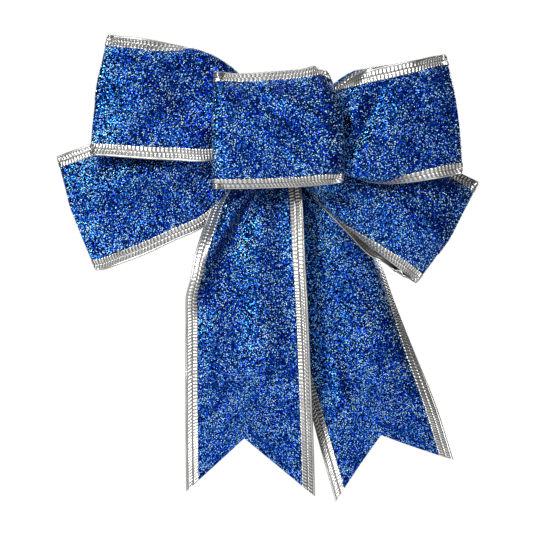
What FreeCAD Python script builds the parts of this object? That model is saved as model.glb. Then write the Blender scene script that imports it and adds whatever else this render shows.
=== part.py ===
"""Pre-made gift bow of wired ribbon, in millimetres.

The bow is five ribbon loops and two swallow-tailed ends, gathered behind the centre loop and bound by a tie.
It faces -Y, its tails hang towards -Z, and the origin is where the tie comes out at the back of the waist.
Every ribbon is a fabric web with a metallic edging folded over each long edge and a soft wire inside that.
Each loop and tail fans about the Y axis through the waist, so its inner end is an arc about that axis.
"""

import FreeCAD
import Part

import math
import os

from FreeCAD import Vector

# Ribbon
FABRIC_THICKNESS = 0.6
EDGING_WIDTH = 6.5
EDGING_THICKNESS = 1.4
EDGING_RIM = 1.3
WIRE_RADIUS = 0.2
WIRE_INSET = EDGING_RIM / 2
WIRE_BEND = 30.0
LOOP_BEND = 45.0
ROOT_BEND = 20.0
TAIL_BEND = 90.0
TAIL_WIRE_BEND = 60.0

# Waist, where all ribbons are gathered: plies lie one behind the other along Y
WAIST_RADIUS = 11.0
WAIST_GAP = 0.5
ROOT_RADIUS = WAIST_RADIUS + WAIST_GAP
PLY_PITCH = 2.6
BACK_PLY = -3.0
RIGHT_TAIL_PLY = BACK_PLY
LOWER_BACK_PLY = BACK_PLY - PLY_PITCH
LOWER_FRONT_PLY = BACK_PLY - 2 * PLY_PITCH
LEFT_TAIL_PLY = BACK_PLY - 3 * PLY_PITCH
UPPER_BACK_PLY = BACK_PLY - 4 * PLY_PITCH
UPPER_FRONT_PLY = BACK_PLY - 5 * PLY_PITCH
CENTRE_PLY = BACK_PLY - 6 * PLY_PITCH
WAIST_PLAY = 0.15

# The tie is sunk into the gathered cloth, in a groove across the top and bottom of the waist
TIE_RADIUS = 0.6
TIE_CORE_RADIUS = 0.25
TIE_TURN_PITCH = 1.3
TIE_HEIGHT = 10.2
TIE_CORNER = 0.8
TIE_PLAY = 0.2
GROOVE_HALF_WIDTH = 1.4
GROOVE_HEIGHT = TIE_HEIGHT - TIE_RADIUS

# Centre loop
CENTRE_HALF_WIDTH = 32.6
CENTRE_FRONT = -50.6
CENTRE_TOP = 28.6
CENTRE_BOTTOM = -30.2
CENTRE_GATHER = 9.3
CENTRE_PINCH = 9.0
CENTRE_SHOULDER = 31.0
CENTRE_CHEEK = 20.0
CENTRE_SIDE_BACK = -36.0
CENTRE_SIDE_FRONT = -46.8
CENTRE_END_GAP = 0.6
CENTRE_BENDS = [12.0, 7.0, 3.6, 30.0, 30.0, 3.6, 7.0, 12.0]

# The tie's twisted stem and free legs
TWIST_RADIUS = 1.3
TWIST_LENGTH = 8.0
LEG_LENGTH = 58.0
LEG_KNUCKLE_RADIUS = 0.9
LEG_OFFSET = 1.25
LEG_RISE = 1.6
LEG_GAP = 0.25
LEG_NECK_RADIUS = 0.4
LEG_NECK_LENGTH = 1.35
CORE_SHOWING = 0.4

# A loop's fold takes up nearly half the gap between its plies, and a bend nearly half the run beside it
FOLD_SHARE = 0.485
BEND_SHARE = 0.47
FOLD_WIRE_SHARE = 0.48
SHORTEST_RUN = 1.5

# How far cutting shapes run past what they cut
ROOT_LEAD = 8.0
REACH_BEYOND = 60.0
PLY_HALF_WIDTH = 96.0
EDGE_OVERRUN = 8.0
CENTRE_OVERRUN = 4.0
TAIL_OVERRUN = 12.0
WASTE_DROP = 30.0
WASTE_SIDE = 40.0
NOTCH_OVERRUN = 0.35

PARTS = "parts"


def unit(x, z):
    """Unit vector in the front plane."""
    size = math.hypot(x, z)
    return (x / size, z / size)


def rounded(corners, radii):
    """Edges of a path through the corners, each inner corner rounded to its radius."""
    edges = []
    start = corners[0]
    for before, corner, after, radius in zip(corners, corners[1:], corners[2:], radii):
        incoming = (corner - before).normalize()
        outgoing = (after - corner).normalize()
        turn = incoming.getAngle(outgoing)
        if radius <= 0 or turn < 1e-3:
            edges.append(Part.LineSegment(start, corner).toShape())
            start = corner
            continue
        setback = radius * math.tan(turn / 2)
        first = corner - incoming * setback
        last = corner + outgoing * setback
        inward = (outgoing - incoming).normalize()
        centre = corner + inward * (radius / math.cos(turn / 2))
        middle = centre - inward * radius
        if (first - start).Length > 1e-4:
            edges.append(Part.LineSegment(start, first).toShape())
        edges.append(Part.Arc(first, middle, last).toShape())
        start = last
    edges.append(Part.LineSegment(start, corners[-1]).toShape())
    return edges


def shifted(line, distance):
    """A line's corners moved to its left by a distance, in two dimensions."""
    normals = []
    for (x0, y0), (x1, y1) in zip(line, line[1:]):
        dx, dy = unit(x1 - x0, y1 - y0)
        normals.append((-dy, dx))
    pairs = zip([normals[0]] + normals, normals + [normals[-1]])
    moved = []
    for (x, y), (before, after) in zip(line, pairs):
        share = distance / (1 + before[0] * after[0] + before[1] * after[1])
        moved.append((x + (before[0] + after[0]) * share, y + (before[1] + after[1]) * share))
    return moved


def left_turns(line):
    """+1 for each inner corner that turns left, and -1 for each that turns right."""
    turns = []
    for (x0, y0), (x1, y1), (x2, y2) in zip(line, line[1:], line[2:]):
        turns.append(1 if (x1 - x0) * (y2 - y1) - (y1 - y0) * (x2 - x1) > 0 else -1)
    return turns


def ply(profile, radii, axis, thickness):
    """A strip of even thickness along a profile of (distance out, Y), drawn out both ways across its axis."""
    half = thickness / 2
    turns = left_turns(profile)

    def side(distance):
        corners = [Vector(r * axis[0], y, r * axis[1]) for r, y in shifted(profile, distance)]
        return corners, [radius - turn * distance for radius, turn in zip(radii, turns)]

    (left, left_radii), (right, right_radii) = side(half), side(-half)
    edges = rounded(left, left_radii)
    edges.append(Part.LineSegment(left[-1], right[-1]).toShape())
    edges += rounded(right[::-1], right_radii[::-1])
    edges.append(Part.LineSegment(right[0], left[0]).toShape())
    face = Part.Face(Part.Wire(Part.__sortEdges__(edges)))
    across = Vector(-axis[1], 0, axis[0])
    face.translate(across * -PLY_HALF_WIDTH)
    return face.extrude(across * 2 * PLY_HALF_WIDTH)


def prism(outline, front=-REACH_BEYOND, back=REACH_BEYOND):
    """An outline in the front plane drawn through the bow's depth."""
    points = [Vector(x, front, z) for x, z in outline]
    return Part.Face(Part.makePolygon(points + points[:1])).extrude(Vector(0, back - front, 0))


def waist_cylinder(radius, front=-REACH_BEYOND, back=REACH_BEYOND):
    """A cylinder about the fan axis."""
    return Part.makeCylinder(radius, back - front, Vector(0, front, 0), Vector(0, 1, 0))


def beyond(edge):
    """An edge line with its last run made longer, so that it passes the ribbon's end."""
    (x0, z0), (x1, z1) = edge[-2:]
    dx, dz = unit(x1 - x0, z1 - z0)
    return edge[:-1] + [(x1 + dx * EDGE_OVERRUN, z1 + dz * EDGE_OVERRUN)]


def along(edge, axis, distance):
    """The point of an edge line at a distance out along the axis."""
    outs = [x * axis[0] + z * axis[1] for x, z in edge]
    for (r0, p0), (r1, p1) in zip(zip(outs, edge), zip(outs[1:], edge[1:])):
        if distance <= r1 or p1 is edge[-1]:
            share = (distance - r0) / (r1 - r0)
            return (p0[0] + (p1[0] - p0[0]) * share, p0[1] + (p1[1] - p0[1]) * share)
    return edge[-1]


def depth_at(line, distance):
    """Y of a profile run at a distance out."""
    for (r0, y0), (r1, y1) in zip(line, line[1:]):
        if distance <= r1 or (r1, y1) == line[-1]:
            return y0 + (y1 - y0) * (distance - r0) / (r1 - r0)
    return line[-1][1]


def run_corners(edge, axis, run):
    """Corners in space of an edge line laid on one ply, from the waist outwards."""
    outs = [x * axis[0] + z * axis[1] for x, z in edge]
    last = run[-1][0]
    stops = sorted({round(r, 3) for r in outs + [r for r, _ in run] if run[0][0] <= r <= last})
    places = []
    for stop in stops:
        if places and stop - places[-1][1] < SHORTEST_RUN:
            continue
        x, z = along(edge, axis, stop)
        places.append((Vector(x, depth_at(run, stop), z), stop))
    corners = [place for place, _ in places]
    x, z = along(edge, axis, last)
    corners[-1] = Vector(x, run[-1][1], z)
    return corners


def wire_along(corners, bends, radius=WIRE_RADIUS):
    """A round wire swept along a rounded path."""
    path = Part.Wire(rounded(corners, bends))
    start = path.Edges[0]
    tangent = start.tangentAt(start.FirstParameter)
    circle = Part.Wire(Part.makeCircle(radius, corners[0], tangent))
    return path.makePipeShell([circle], True, True)


def fitting_radii(corners, wanted):
    """Radii of the inner corners, kept as small as the runs beside each one need."""
    radii = []
    for i, corner in enumerate(corners[1:-1], start=1):
        incoming = corner - corners[i - 1]
        outgoing = corners[i + 1] - corner
        turn = max(incoming.getAngle(outgoing), 1e-3)
        room = BEND_SHARE * min(incoming.Length, outgoing.Length) / math.tan(turn / 2)
        radii.append(min(wanted, room))
    return radii


def keep_largest(shape):
    """The largest solid of a shape."""
    return max(shape.Solids, key=lambda solid: solid.Volume)


def save(name, *solids):
    """Write one node."""
    shape = solids[0] if len(solids) == 1 else Part.makeCompound(list(solids))
    shape.exportStep(os.path.join(PARTS, name + ".step"))
    print(f"{name}: {len(shape.Solids)} solid(s), {shape.Volume:.1f} mm3, valid {shape.isValid()}")


class Ribbon:
    """A ribbon laid along a profile and cut to its outline in the front plane."""

    def __init__(self, name, edges, edge_names, sides=(-1, 1)):
        self.name = name
        self.edges = edges
        self.edge_names = edge_names
        self.sides = sides

    def inset(self, index, distance):
        """One edge line moved towards the ribbon's middle."""
        return shifted(self.edges[index], self.sides[index] * distance)

    def web_outline(self):
        """The outline of the fabric, which stops short of the edging's rim."""
        return self.inset(0, EDGING_RIM) + self.inset(1, EDGING_RIM)[::-1]

    def band_outline(self, index):
        """The outline of one edging."""
        return list(self.edges[index]) + self.inset(index, EDGING_WIDTH)[::-1]

    def write(self, web_ply, edging_ply, web_cut, band_cuts, wires, trim):
        """Write the fabric, its edgings and their wires."""
        web = web_ply.common(web_cut).cut(trim)
        for wire in wires:
            web = web.cut(wire)
        web = keep_largest(web)
        save(self.name + "_ribbon", web)
        for label, band, wire in zip(self.edge_names, band_cuts, wires):
            wire = keep_largest(wire.cut(trim))
            edging = keep_largest(edging_ply.common(band).cut(trim).cut(web).cut(wire))
            save(f"{self.name}_{label}_edging", edging)
            save(f"{self.name}_{label}_wire", wire)


def write_side_loop(name, angle, reach, front, back, top, bottom):
    """A loop that springs from the waist: out in front, round the fold and back behind."""
    axis = (math.cos(math.radians(angle)), math.sin(math.radians(angle)))
    leftward = axis[0] < 0
    fold = FOLD_SHARE * abs(front[-1][1] - back[-1][1])
    front_run = [(ROOT_RADIUS - ROOT_LEAD, front[0][1])] + front + [(reach, front[-1][1])]
    back_run = [(ROOT_RADIUS - ROOT_LEAD, back[0][1])] + back + [(reach, back[-1][1])]
    profile = front_run + back_run[::-1]
    bends = [ROOT_BEND, LOOP_BEND, fold, fold, LOOP_BEND, ROOT_BEND]
    edges = [beyond(top), beyond(bottom)]
    sides = (1, -1) if leftward else (-1, 1)
    ribbon = Ribbon(name, edges, ("top", "bottom"), sides)
    wires = []
    for index in (0, 1):
        line = ribbon.inset(index, WIRE_INSET)
        outward = run_corners(line, axis, front_run)
        inward = run_corners(line, axis, back_run)
        corners = outward + inward[::-1]
        radii = fitting_radii(corners, WIRE_BEND)
        for i in (len(outward) - 2, len(outward) - 1):
            radii[i] = min(fold, radii[i] * FOLD_WIRE_SHARE / BEND_SHARE)
        wires.append(wire_along(corners, radii))
    ribbon.write(
        ply(profile, bends, axis, FABRIC_THICKNESS),
        ply(profile, bends, axis, EDGING_THICKNESS),
        prism(ribbon.web_outline()),
        [prism(ribbon.band_outline(0)), prism(ribbon.band_outline(1))],
        wires,
        waist_cylinder(ROOT_RADIUS),
    )


def write_tail(name, angle, run, left, right, notch):
    """A tail that hangs from the waist in one ply and ends in a V-shaped notch."""
    axis = (math.cos(math.radians(angle)), math.sin(math.radians(angle)))
    profile = [(ROOT_RADIUS - ROOT_LEAD, run[0][1])] + run
    profile.append((run[-1][0] + TAIL_OVERRUN, run[-1][1]))
    bends = [ROOT_BEND] + [TAIL_BEND] * (len(profile) - 3)
    ribbon = Ribbon(name, [beyond(left), beyond(right)], ("left", "right"), (1, -1))
    # The cut runs from each long edge's end up to the notch, and takes all three layers of the ribbon
    tips = (left[-1], right[-1])
    side = (-axis[1] * WASTE_SIDE, axis[0] * WASTE_SIDE)
    outward = [(x + s * side[0], z + s * side[1] + axis[1] * WASTE_DROP) for (x, z), s in zip(tips, (-1, 1))]
    ends = [(x + (x - notch[0]) * NOTCH_OVERRUN, z + (z - notch[1]) * NOTCH_OVERRUN) for x, z in tips]
    left_waste = [ends[0], (outward[0][0], ends[0][1]), outward[0]]
    right_waste = [outward[1], (outward[1][0], ends[1][1]), ends[1]]
    waste = [notch] + left_waste + right_waste
    trim = waist_cylinder(ROOT_RADIUS).fuse(prism(waste))
    wires = []
    for index in (0, 1):
        corners = run_corners(ribbon.inset(index, WIRE_INSET), axis, profile)
        wires.append(wire_along(corners, fitting_radii(corners, TAIL_WIRE_BEND)))
    ribbon.write(
        ply(profile, bends, axis, FABRIC_THICKNESS),
        ply(profile, bends, axis, EDGING_THICKNESS),
        prism(ribbon.web_outline()),
        [prism(ribbon.band_outline(0)), prism(ribbon.band_outline(1))],
        wires,
        trim,
    )


def write_centre_loop():
    """The small loop in front: a ring of ribbon whose ends meet under the tie, full width only in front."""
    axis = (1.0, 0.0)
    pinch, shoulder = CENTRE_PINCH, CENTRE_SHOULDER
    side = CENTRE_HALF_WIDTH + CENTRE_OVERRUN
    end = CENTRE_END_GAP / 2
    right = [
        (end, CENTRE_PLY), (pinch, CENTRE_PLY), (shoulder, CENTRE_SIDE_BACK),
        (CENTRE_HALF_WIDTH, CENTRE_SIDE_FRONT), (CENTRE_CHEEK, CENTRE_FRONT),
    ]
    profile = right + [(-x, y) for x, y in right[::-1]]
    top = [(-side, CENTRE_TOP), (side, CENTRE_TOP)]
    bottom = [(-side, CENTRE_BOTTOM), (side, CENTRE_BOTTOM)]
    split = CENTRE_SIDE_BACK - 2.0

    def outline(upper, lower):
        """The front outline from one height to another."""
        return [(-side, upper), (side, upper), (side, lower), (-side, lower)]

    def gathered(sign, label):
        """One long edge of a back ply, drawn in towards the waist."""
        height, low = (CENTRE_TOP, CENTRE_GATHER) if label == "top" else (CENTRE_BOTTOM, -CENTRE_GATHER)
        return [(0, low), (sign * pinch, low), (sign * shoulder, height), (sign * side, height)]

    def back_outline(sign, inset):
        """The gathered outline of one back ply between two insets from its edges."""
        high = shifted(gathered(sign, "top"), -sign * inset)
        return high + shifted(gathered(sign, "bottom"), sign * inset)[::-1]

    def band(sign, label, inset):
        """One edging band of a back ply."""
        line = gathered(sign, label)
        towards = -sign if label == "top" else sign
        return line + shifted(line, towards * inset)[::-1]

    def joined(front_outline, backs):
        """Front and back cutters as one."""
        cutter = prism(front_outline, back=split)
        for shape in backs:
            cutter = cutter.fuse(prism(shape, front=split))
        return cutter

    rim, width = EDGING_RIM, EDGING_WIDTH
    web_cut = joined(
        outline(CENTRE_TOP - rim, CENTRE_BOTTOM + rim),
        [back_outline(-1, rim), back_outline(1, rim)],
    )
    top_cut = joined(
        outline(CENTRE_TOP, CENTRE_TOP - width), [band(-1, "top", width), band(1, "top", width)]
    )
    bottom_cut = joined(
        outline(CENTRE_BOTTOM + width, CENTRE_BOTTOM), [band(-1, "bottom", width), band(1, "bottom", width)]
    )
    wires = []
    for height, waist_height, inward in (
        (CENTRE_TOP, CENTRE_GATHER, -WIRE_INSET),
        (CENTRE_BOTTOM, -CENTRE_GATHER, WIRE_INSET),
    ):
        one_side = [
            Vector(end, CENTRE_PLY, waist_height + inward),
            Vector(pinch, CENTRE_PLY, waist_height + inward),
            Vector(shoulder, CENTRE_SIDE_BACK, height + inward),
            Vector(CENTRE_HALF_WIDTH, CENTRE_SIDE_FRONT, height + inward),
            Vector(CENTRE_CHEEK, CENTRE_FRONT, height + inward),
        ]
        other_side = [Vector(-p.x, p.y, p.z) for p in one_side[::-1]]
        corners = one_side + other_side
        fitting = fitting_radii(corners, WIRE_BEND)
        wires.append(wire_along(corners, [min(pair) for pair in zip(CENTRE_BENDS, fitting)]))
    ribbon = Ribbon("centre_loop", [top, bottom], ("top", "bottom"))
    corner = Vector(-end, CENTRE_PLY - PLY_PITCH / 2, -WAIST_RADIUS)
    ribbon.write(
        ply(profile, CENTRE_BENDS, axis, FABRIC_THICKNESS),
        ply(profile, CENTRE_BENDS, axis, EDGING_THICKNESS),
        web_cut,
        [top_cut, bottom_cut],
        wires,
        Part.makeBox(CENTRE_END_GAP, PLY_PITCH, 2 * WAIST_RADIUS, corner),
    )


def write_waist():
    """The gathered middles of the ribbons, one disc of pleated cloth for each ribbon, stacked along Y."""
    half = PLY_PITCH / 2 - WAIST_PLAY
    stack = {
        "right_tail_waist": (RIGHT_TAIL_PLY, RIGHT_TAIL_PLY),
        "lower_loops_waist": (LOWER_FRONT_PLY, LOWER_BACK_PLY),
        "left_tail_waist": (LEFT_TAIL_PLY, LEFT_TAIL_PLY),
        "upper_loops_waist": (UPPER_FRONT_PLY, UPPER_BACK_PLY),
    }
    for name, (front, back) in stack.items():
        disc = waist_cylinder(WAIST_RADIUS, front - half, back + half)
        for low in (GROOVE_HEIGHT, -WAIST_RADIUS - 1):
            corner = Vector(-GROOVE_HALF_WIDTH, -REACH_BEYOND, low)
            deep = WAIST_RADIUS + 1 - GROOVE_HEIGHT
            disc = disc.cut(Part.makeBox(2 * GROOVE_HALF_WIDTH, 2 * REACH_BEYOND, deep, corner))
        save(name, disc)


def write_tie():
    """The tie: turns round the waist, a twisted stem at the back, and two free legs."""
    front = CENTRE_PLY - EDGING_THICKNESS / 2 - TIE_RADIUS - TIE_PLAY
    back = RIGHT_TAIL_PLY + PLY_PITCH / 2 + TIE_RADIUS
    high = TIE_HEIGHT
    turns = []
    for offset in (-TIE_TURN_PITCH / 2, TIE_TURN_PITCH / 2):
        corners = [
            Vector(offset, front, 0), Vector(offset, front, high), Vector(offset, back, high),
            Vector(offset, back, -high), Vector(offset, front, -high), Vector(offset, front, 0),
        ]
        turns.append(wire_along(corners, [TIE_CORNER] * 4, TIE_RADIUS))
    save("waist_tie", *turns)

    stem_start = back + TIE_RADIUS
    stem_end = stem_start + TWIST_LENGTH
    save("tie_twist", Part.makeCylinder(TWIST_RADIUS, TWIST_LENGTH, Vector(0, stem_start, 0), Vector(0, 1, 0)))

    pivot_y = stem_end + LEG_GAP + LEG_KNUCKLE_RADIUS
    for name, sign in (("left_tie_leg", -1), ("right_tie_leg", 1)):
        pivot = Vector(sign * LEG_OFFSET, pivot_y, -sign * LEG_RISE)
        outward = Vector(sign, 0, 0)
        low = pivot - Vector(0, 0, LEG_KNUCKLE_RADIUS)
        knuckle = Part.makeCylinder(LEG_KNUCKLE_RADIUS, 2 * LEG_KNUCKLE_RADIUS, low)
        neck = Part.makeCylinder(LEG_NECK_RADIUS, LEG_LENGTH, pivot, outward)
        coated = LEG_LENGTH - LEG_NECK_LENGTH
        coat = Part.makeCylinder(TIE_RADIUS, coated, pivot + outward * LEG_NECK_LENGTH, outward)
        coat = coat.fuse([neck, knuckle])
        core = Part.makeCylinder(TIE_CORE_RADIUS, LEG_LENGTH + CORE_SHOWING, pivot, outward)
        save(name, keep_largest(coat.cut(core).removeSplitter()))
        save(name + "_core", core)
    print(f"leg pivots at X {LEG_OFFSET}, Y {pivot_y:.3f}")


def main():
    """Write every node."""
    os.makedirs(PARTS, exist_ok=True)
    upper_front = [(ROOT_RADIUS, UPPER_FRONT_PLY), (45.0, -34.5)]
    upper_back = [(ROOT_RADIUS, UPPER_BACK_PLY), (45.0, -19.5)]
    lower_front = [(ROOT_RADIUS, LOWER_FRONT_PLY), (50.0, -15.0)]
    lower_back = [(ROOT_RADIUS, LOWER_BACK_PLY), (50.0, -1.0)]
    write_side_loop(
        "upper_left_loop", angle=171.6, reach=90.6, front=upper_front, back=upper_back,
        top=[(-6.0, 9.0), (-22.0, 28.0), (-42.0, 40.0), (-84.6, 47.4)],
        bottom=[(-6.0, -9.0), (-36.0, -16.5), (-93.6, -13.6)],
    )
    write_side_loop(
        "upper_right_loop", angle=8.2, reach=87.4, front=upper_front, back=upper_back,
        top=[(6.0, 9.0), (28.0, 23.5), (50.0, 30.5), (82.9, 37.5)],
        bottom=[(6.0, -9.0), (33.0, -23.5), (60.0, -27.0), (91.5, -22.8)],
    )
    write_side_loop(
        "lower_left_loop", angle=201.6, reach=109.1, front=lower_front, back=lower_back,
        top=[(-7.0, 8.0), (-40.0, 14.0), (-111.7, -14.0)],
        bottom=[(-4.0, -10.5), (-36.6, -47.8), (-89.2, -70.9)],
    )
    write_side_loop(
        "lower_right_loop", angle=-30.6, reach=99.2, front=lower_front, back=lower_back,
        top=[(8.0, 7.0), (38.0, 12.0), (99.4, -26.7)],
        bottom=[(3.5, -10.5), (16.0, -32.0), (69.6, -77.5)],
    )
    write_tail(
        "left_tail", angle=-90.0,
        run=[(ROOT_RADIUS, LEFT_TAIL_PLY), (30.0, -16.3), (60.0, -20.0), (100.0, -21.5), (184.0, -14.0)],
        left=[(-8.0, -6.0), (-29.0, -31.0), (-46.5, -80.0), (-45.6, -181.0)],
        right=[(8.0, -6.0), (11.0, -31.0), (15.5, -90.0), (18.0, -182.5)],
        notch=(-16.9, -154.7),
    )
    write_tail(
        "right_tail", angle=-75.8,
        run=[(ROOT_RADIUS, RIGHT_TAIL_PLY), (50.0, 3.2), (100.0, 3.5), (184.0, -3.0)],
        left=[(-8.0, -6.0), (-6.0, -60.0), (6.5, -116.0), (30.5, -184.5)],
        right=[(9.0, -5.0), (30.0, -34.0), (51.6, -66.7), (87.0, -164.0)],
        notch=(48.8, -154.7),
    )
    write_centre_loop()
    write_waist()
    write_tie()


main()
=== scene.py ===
"""A pre-made gift bow of wired glitter ribbon, dressed for the studio.

Seven lengths of ribbon are laid as cloth: each is described by ribs, the lines across the ribbon, and the
cloth keeps its full width by folding where the ribs are shorter than it is. The fabric, its bound edgings and
the wires inside them are then all built in the cloth's own coordinates, so they fold together.
"""
import logging
import math
from dataclasses import dataclass, field
from enum import Enum

import bpy
import numpy as np
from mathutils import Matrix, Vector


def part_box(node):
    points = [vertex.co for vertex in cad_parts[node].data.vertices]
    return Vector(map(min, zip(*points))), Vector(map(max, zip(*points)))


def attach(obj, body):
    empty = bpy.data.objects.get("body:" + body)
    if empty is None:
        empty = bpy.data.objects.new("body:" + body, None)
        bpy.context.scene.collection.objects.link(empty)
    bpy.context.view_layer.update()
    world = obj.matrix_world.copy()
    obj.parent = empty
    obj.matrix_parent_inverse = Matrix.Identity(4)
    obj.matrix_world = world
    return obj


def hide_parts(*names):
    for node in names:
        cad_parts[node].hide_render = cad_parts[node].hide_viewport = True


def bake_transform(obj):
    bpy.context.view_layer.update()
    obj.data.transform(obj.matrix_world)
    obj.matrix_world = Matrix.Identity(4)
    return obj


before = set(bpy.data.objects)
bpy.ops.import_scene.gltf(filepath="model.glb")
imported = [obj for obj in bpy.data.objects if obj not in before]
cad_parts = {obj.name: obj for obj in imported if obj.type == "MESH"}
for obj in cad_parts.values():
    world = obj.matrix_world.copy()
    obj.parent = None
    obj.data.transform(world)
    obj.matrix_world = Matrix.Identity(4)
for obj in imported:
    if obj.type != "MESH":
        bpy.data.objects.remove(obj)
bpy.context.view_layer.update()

LOG = logging.getLogger("gift_bow")
MM = 0.001
WAIST = "waist"
LOOP_EDGES = ("top", "bottom")
TAIL_EDGES = ("left", "right")

# The ribbon, in millimetres
RIBBON_WIDTH = 63.5
CLOTH_STEP = 0.8
FABRIC_HALF = 0.18
FABRIC_INSET = 1.7
FLAKE_STEP = 0.6
FLAKE_RISE = 0.15
FLAKE_SHIFT = 0.34
FABRIC_THIN = 0.08
EDGING_WIDTH = 6.4
LANE_MIDDLES = (2.2, 5.0)
LANE_HALVES = (1.05, 1.3)
BAR_PITCH = 1.76
BAR_SAMPLES = 6
BAR_SHADES = 12000
SECOND_LANE_SHADES = 5000
WIRE_RADIUS = 0.2
WIRE_INSET = 0.5
WIRE_STEP = 1.2
WIRE_RING = 8
STEEPEST = 1.35


class Side(Enum):
    """The two long edges of a ribbon."""

    FIRST = 1
    SECOND = -1


def smoothstep(low: float, high: float, value: np.ndarray) -> np.ndarray:
    """Rise smoothly from 0 at low to 1 at high.

    Args:
        low: Where the rise starts.
        high: Where it ends.
        value: Where it is read.

    Returns:
        The risen share at each value.
    """
    share = np.clip((value - low) / (high - low), 0.0, 1.0)
    return share * share * (3 - 2 * share)


def unit(vectors: np.ndarray) -> np.ndarray:
    """Return vectors scaled to length 1 along their last axis."""
    return vectors / np.maximum(np.linalg.norm(vectors, axis=-1, keepdims=True), 1e-9)


def around(ring: int) -> np.ndarray:
    """Return the angles of evenly spaced points round a ring."""
    return np.linspace(0, 2 * np.pi, ring, endpoint=False)


def box_corners(node: str) -> tuple[np.ndarray, np.ndarray]:
    """Return the lowest and highest corners of a node of the frame, in millimetres."""
    low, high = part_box(node)
    return np.array(low) / MM, np.array(high) / MM


def through(knots: np.ndarray, values: np.ndarray, at: np.ndarray) -> np.ndarray:
    """Read a smooth curve that passes through values at knots.

    Args:
        knots: Rising parameters, one for each row of values.
        values: Rows to pass through.
        at: Parameters to read.

    Returns:
        One row for each parameter.
    """
    spans = np.diff(knots)[:, None]
    slopes = np.diff(values, axis=0) / spans
    between = (slopes[:-1] * spans[1:] + slopes[1:] * spans[:-1]) / (spans[1:] + spans[:-1])
    tangents = np.vstack([slopes[:1], between, slopes[-1:]])
    index = np.clip(np.searchsorted(knots, at, side="right") - 1, 0, len(knots) - 2)
    span = spans[index]
    t = ((at - knots[index])[:, None]) / span
    return (
        (2 * t**3 - 3 * t**2 + 1) * values[index]
        + (t**3 - 2 * t**2 + t) * span * tangents[index]
        + (3 * t**2 - 2 * t**3) * values[index + 1]
        + (t**3 - t**2) * span * tangents[index + 1]
    )


@dataclass(frozen=True)
class Rib:
    """One line across a ribbon, in millimetres.

    Each end is the outermost place of the cloth on that side, so a curled edging lies behind it.
    """

    first: tuple[float, float, float]
    second: tuple[float, float, float]
    bow: tuple[float, float, float] = (0.0, 0.0, 0.0)
    curl_first: float = 0.0
    curl_second: float = 0.0
    gather: float = 0.0

    def row(self) -> list[float]:
        """Return the rib as one row of numbers."""
        return [*self.first, *self.second, *self.bow, self.curl_first, self.curl_second, self.gather]


@dataclass(frozen=True)
class Crease:
    """A sloping band that runs along the ribbon, where the cloth steps out or back.

    Its place across is given at the root and at the end; it spreads and weighs as stated.
    """

    root: float
    end: float
    spread: float
    weight: float

    def lean(self, across: np.ndarray, along: np.ndarray) -> np.ndarray:
        """Return how the cloth leans over the grid because of the crease."""
        centre = self.root + (self.end - self.root) * along
        return self.weight * np.exp(-(((across - centre) / self.spread) ** 2))


@dataclass(frozen=True)
class Fold:
    """A soft ridge or valley pressed into a ribbon's face along a line in the front plane, in millimetres."""

    start: tuple[float, float]
    end: tuple[float, float]
    height: float
    width: float

    def rise(self, x: np.ndarray, z: np.ndarray) -> np.ndarray:
        """Return how far the cloth rises at each place.

        Args:
            x: Places along X in millimetres.
            z: Places along Z in millimetres.

        Returns:
            Millimetres outwards.
        """
        run = np.array(self.end) - np.array(self.start)
        size = float(np.hypot(*run))
        along = ((x - self.start[0]) * run[0] + (z - self.start[1]) * run[1]) / size**2
        aside = ((x - self.start[0]) * run[1] - (z - self.start[1]) * run[0]) / size
        ends = smoothstep(-0.25, 0.2, along) * (1 - smoothstep(0.8, 1.25, along))
        return self.height * ends * np.exp(-((aside / self.width) ** 2))


@dataclass(frozen=True)
class Drape:
    """How slack cloth is taken up across a ribbon."""

    crown: float = 1.0
    waves: tuple[tuple[float, float, float], ...] = ()
    creases: tuple[Crease, ...] = ()
    folds: tuple[Fold, ...] = ()
    face: tuple[float, float] = (0.0, 0.46)
    pleats: float = 9.0
    hem: float = 0.0
    dent: float = 0.45
    seed: int = 1

    def pattern(self, across: np.ndarray, along: np.ndarray, gather: np.ndarray) -> np.ndarray:
        """Return how the cloth leans over the grid before it is scaled to take up the slack.

        Args:
            across: Shares across the ribbon, as a row.
            along: Shares along it, as a column.
            gather: How much of the slack goes into fine pleats, as a column.

        Returns:
            The lean at each place.
        """
        broad = self.crown * (1 - 2 * across) + 0 * along
        for count, phase, weight in self.waves:
            broad = broad + weight * np.cos(2 * np.pi * (count * across + phase))
        for crease in self.creases:
            broad = broad + crease.lean(across, along)
        if self.hem > 0:
            broad = broad * smoothstep(0, self.hem, across) * (1 - smoothstep(1 - self.hem, 1, across))
        fine = np.cos(2 * np.pi * self.pleats * across + 0.6 * np.sin(5 * np.pi * across))
        return (1 - gather) * broad + gather * fine

    def dents(self, across: np.ndarray, along: np.ndarray) -> np.ndarray:
        """Return small soft dents of wired cloth over the grid, in millimetres.

        Args:
            across: Places across in millimetres, as a row.
            along: Places along in millimetres, as a column.

        Returns:
            The rise at each place.
        """
        draw = np.random.default_rng(self.seed)
        rise = np.zeros((len(along), across.shape[1]))
        for _ in range(9):
            angle, length, phase = draw.uniform(0, np.pi), draw.uniform(16, 46), draw.uniform(0, 2 * np.pi)
            turn = (along * np.cos(angle) + across * np.sin(angle)) / length
            rise = rise + np.sin(2 * np.pi * turn + phase) * length / 46
        return self.dent * rise / 2.2


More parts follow.
